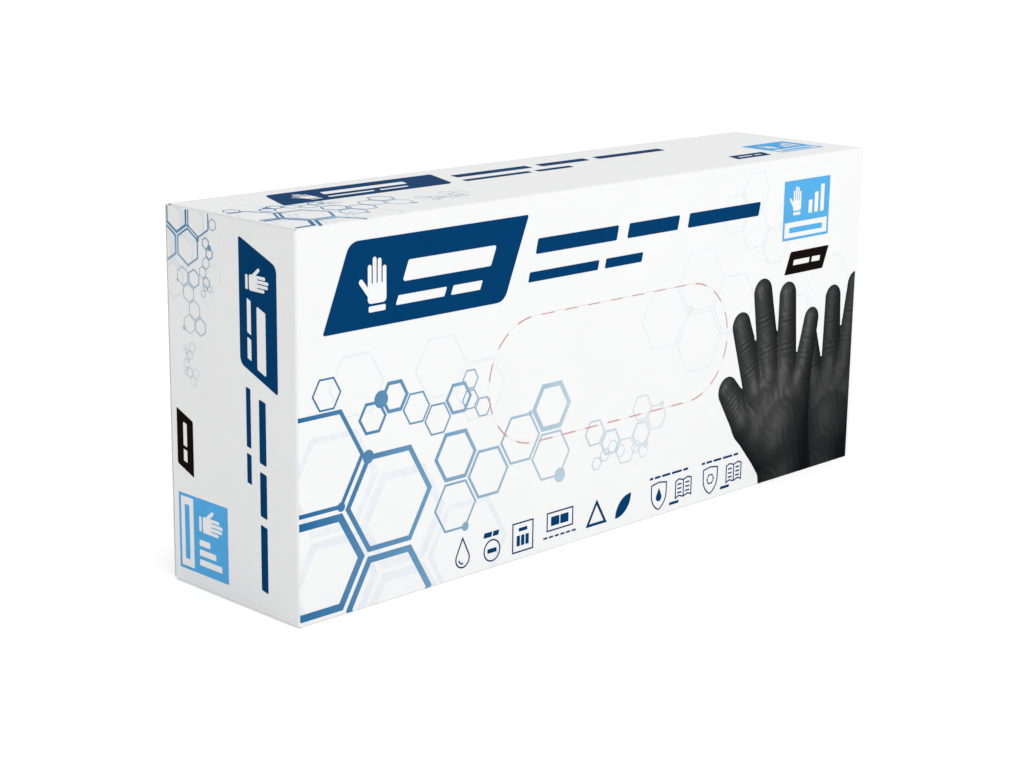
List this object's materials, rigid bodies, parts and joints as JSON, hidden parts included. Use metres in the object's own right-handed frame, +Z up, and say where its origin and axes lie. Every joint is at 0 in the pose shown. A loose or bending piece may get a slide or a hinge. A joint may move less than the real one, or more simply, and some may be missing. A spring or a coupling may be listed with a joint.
{
  "type": "glove dispenser carton",
  "caption": "Folded board dispenser carton with tuck-in ends and a tear-out tab over its window, filled with thin black gloves lying flat.",
  "frame": {"origin": "middle of the carton's footprint on the surface it stands on", "axes": "+X along the carton's length, the front panel with the dispensing window faces -Y, +Z up"},
  "size_m": [0.24, 0.054, 0.105],
  "materials": {
    "board": "clay-coated white paperboard, satin, print in navy, blue and black",
    "glove_film": "matt black nitrile film with fine wrinkles"
  },
  "bodies": {
    "sleeve": {"front_panel": "board", "top_panel": "board", "back_panel": "board", "bottom_panel": "board", "glue_flap": "board", "glove_bundle_01": "glove_film", "glove_bundle_02": "glove_film", "glove_bundle_03": "glove_film", "glove_bundle_04": "glove_film", "glove_bundle_05": "glove_film", "glove_bundle_06": "glove_film", "glove_bundle_07": "glove_film", "glove_bundle_08": "glove_film", "glove_bundle_09": "glove_film", "glove_bundle_10": "glove_film"},
    "tear_out": {"tear_out_tab": "board"},
    "left_closure": {"left_closure_panel": "board"},
    "left_tuck": {"left_tuck_flap": "board"},
    "left_top_dust": {"left_top_dust_flap": "board"},
    "left_bottom_dust": {"left_bottom_dust_flap": "board"},
    "right_closure": {"right_closure_panel": "board"},
    "right_tuck": {"right_tuck_flap": "board"},
    "right_top_dust": {"right_top_dust_flap": "board"},
    "right_bottom_dust": {"right_bottom_dust_flap": "board"}
  },
  "joints": [
    {"name": "tear_out_hinge", "type": "hinge", "parent": "sleeve", "child": "tear_out", "pos_m": [0, -0.027, 0.071], "axis": [-1, 0, 0], "range_deg": [0, 150]},
    {"name": "left_closure_hinge", "type": "hinge", "parent": "sleeve", "child": "left_closure", "pos_m": [-0.11974, -0.02674, 0.0525], "axis": [0, 0, 1], "range_deg": [0, 170]},
    {"name": "left_tuck_hinge", "type": "hinge", "parent": "left_closure", "child": "left_tuck", "pos_m": [-0.11974, 0.02599, 0.0525], "axis": [0, 0, 1], "range_deg": [0, 60]},
    {"name": "left_top_dust_hinge", "type": "hinge", "parent": "sleeve", "child": "left_top_dust", "pos_m": [-0.11914, 0, 0.10474], "axis": [0, 1, 0], "range_deg": [0, 86]},
    {"name": "left_bottom_dust_hinge", "type": "hinge", "parent": "sleeve", "child": "left_bottom_dust", "pos_m": [-0.11914, 0, 0.00026], "axis": [0, -1, 0], "range_deg": [0, 86]},
    {"name": "right_closure_hinge", "type": "hinge", "parent": "sleeve", "child": "right_closure", "pos_m": [0.11974, -0.02674, 0.0525], "axis": [0, 0, -1], "range_deg": [0, 170]},
    {"name": "right_tuck_hinge", "type": "hinge", "parent": "right_closure", "child": "right_tuck", "pos_m": [0.11974, 0.02599, 0.0525], "axis": [0, 0, -1], "range_deg": [0, 60]},
    {"name": "right_top_dust_hinge", "type": "hinge", "parent": "sleeve", "child": "right_top_dust", "pos_m": [0.11914, 0, 0.10474], "axis": [0, -1, 0], "range_deg": [0, 86]},
    {"name": "right_bottom_dust_hinge", "type": "hinge", "parent": "sleeve", "child": "right_bottom_dust", "pos_m": [0.11914, 0, 0.00026], "axis": [0, 1, 0], "range_deg": [0, 86]}
  ],
  "couplings": [
    {"joint": "left_tuck_hinge", "follows": "left_closure_hinge", "ratio": 0.35},
    {"joint": "left_top_dust_hinge", "follows": "left_closure_hinge", "ratio": 0.5},
    {"joint": "left_bottom_dust_hinge", "follows": "left_closure_hinge", "ratio": 0.5},
    {"joint": "right_tuck_hinge", "follows": "right_closure_hinge", "ratio": 0.35},
    {"joint": "right_top_dust_hinge", "follows": "right_closure_hinge", "ratio": 0.5},
    {"joint": "right_bottom_dust_hinge", "follows": "right_closure_hinge", "ratio": 0.5}
  ]
}
